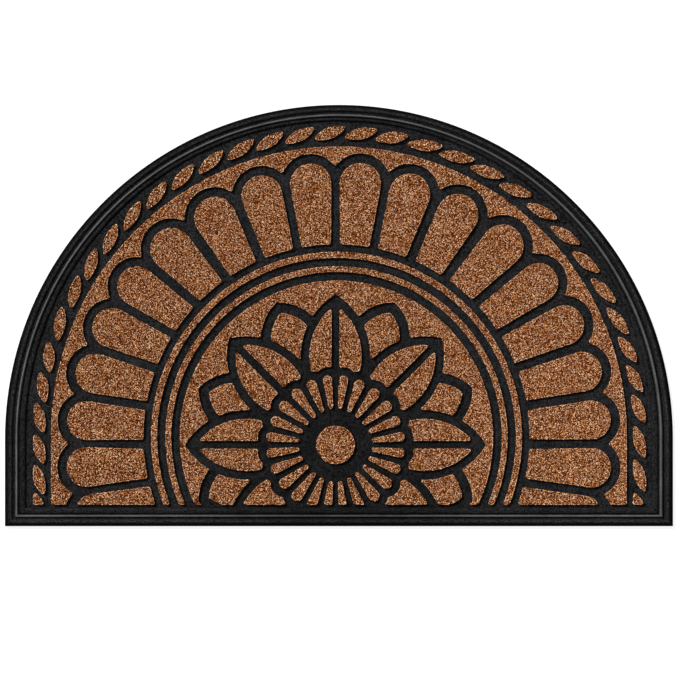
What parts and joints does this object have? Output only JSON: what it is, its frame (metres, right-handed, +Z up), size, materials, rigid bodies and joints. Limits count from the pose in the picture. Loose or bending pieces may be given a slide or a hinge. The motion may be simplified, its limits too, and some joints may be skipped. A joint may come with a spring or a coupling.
{
  "type": "half-round rubber doormat",
  "caption": "Half-round doormat: a moulded black rubber plate with a beaded rim, carrying pads of short brown pile in a rosette, arches and a rope border.",
  "frame": {"origin": "middle of the mat's bounding box, on the flat underside that lies on the floor", "axes": "+Z up out of the pile side; +Y from the straight edge towards the crown of the arc; X along the straight edge"},
  "size_m": [0.75, 0.473, 0.0073],
  "materials": {
    "moulded_rubber": "matt black moulded rubber, faintly leathery in the floor, with a fine cross grain on the rim",
    "brown_pile": "short dense crinkled pile, matt, heathered brown from dark brown to light tan"
  },
  "bodies": {
    "root": {"rubber_base": "moulded_rubber", "outer_field": "brown_pile", "arch_01": "brown_pile", "arch_02": "brown_pile", "arch_03": "brown_pile", "arch_04": "brown_pile", "arch_05": "brown_pile", "arch_06": "brown_pile", "arch_07": "brown_pile", "arch_08": "brown_pile", "arch_09": "brown_pile", "arch_10": "brown_pile", "arch_11": "brown_pile", "arch_12": "brown_pile", "arch_13": "brown_pile", "arch_14": "brown_pile", "arch_15": "brown_pile", "arch_16": "brown_pile", "arch_17": "brown_pile", "arch_18": "brown_pile", "arch_19": "brown_pile", "arch_20": "brown_pile", "ring_outer": "brown_pile", "ring_inner": "brown_pile", "inner_field": "brown_pile", "petal_1_left": "brown_pile", "petal_1_right": "brown_pile", "petal_2_left": "brown_pile", "petal_2_right": "brown_pile", "petal_3_left": "brown_pile", "petal_3_right": "brown_pile", "petal_4_left": "brown_pile", "petal_4_right": "brown_pile", "petal_5_left": "brown_pile", "petal_5_right": "brown_pile", "petal_cut_left": "brown_pile", "petal_cut_right": "brown_pile", "small_petal_1": "brown_pile", "small_petal_2": "brown_pile", "small_petal_3": "brown_pile", "small_petal_4": "brown_pile", "small_petal_5": "brown_pile", "small_petal_6": "brown_pile", "rosette_disc": "brown_pile", "rosette_flutes": "brown_pile", "rope_leaves": "brown_pile"}
  },
  "joints": []
}
